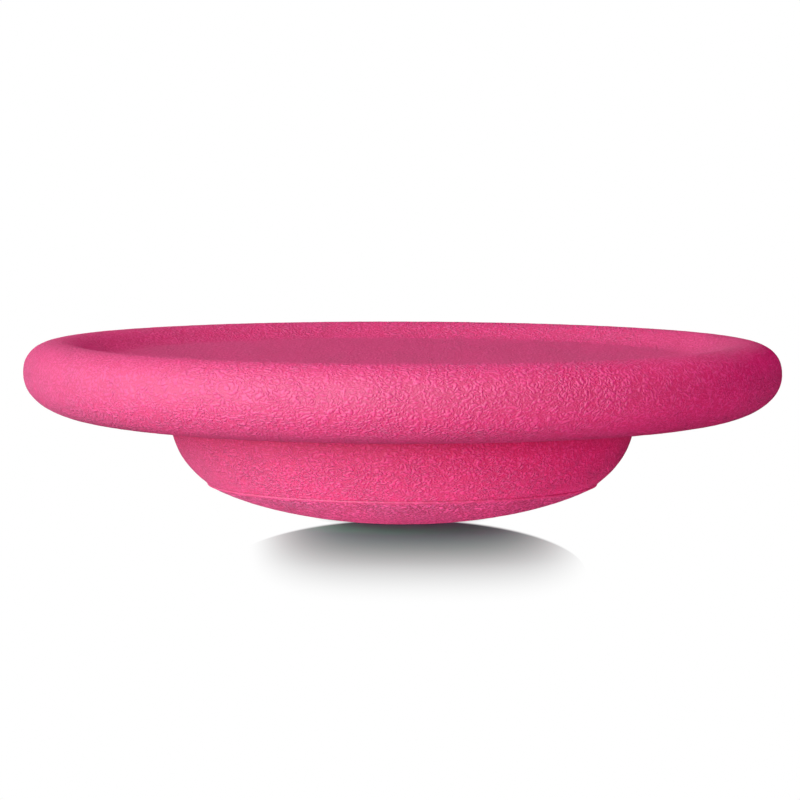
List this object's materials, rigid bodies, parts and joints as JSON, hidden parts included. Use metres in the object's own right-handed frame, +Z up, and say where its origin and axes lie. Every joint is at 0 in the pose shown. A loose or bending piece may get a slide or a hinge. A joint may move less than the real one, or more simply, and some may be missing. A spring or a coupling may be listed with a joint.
{
  "type": "curved balance board",
  "caption": "Round moulded foam balance board: a shallow standing dish with a thick rolled rim, carried on a low round rocker dome with a grained tread and a small flat foot.",
  "frame": {"origin": "on the floor, at the middle of the flat foot under the rocker dome", "axes": "+Z up along the axis that the whole board is turned about; +X and +Y are alike"},
  "size_m": [0.4, 0.4, 0.0954],
  "materials": {
    "dish_foam": "matt moulded bead foam with a fine wrinkled skin",
    "dome_foam": "matt moulded bead foam with a fine wrinkled skin",
    "tread_foam": "matt moulded bead foam, grained more coarsely"
  },
  "bodies": {
    "root": {"dish": "dish_foam", "rocker_dome": "dome_foam", "tread_cap": "tread_foam"}
  },
  "joints": []
}
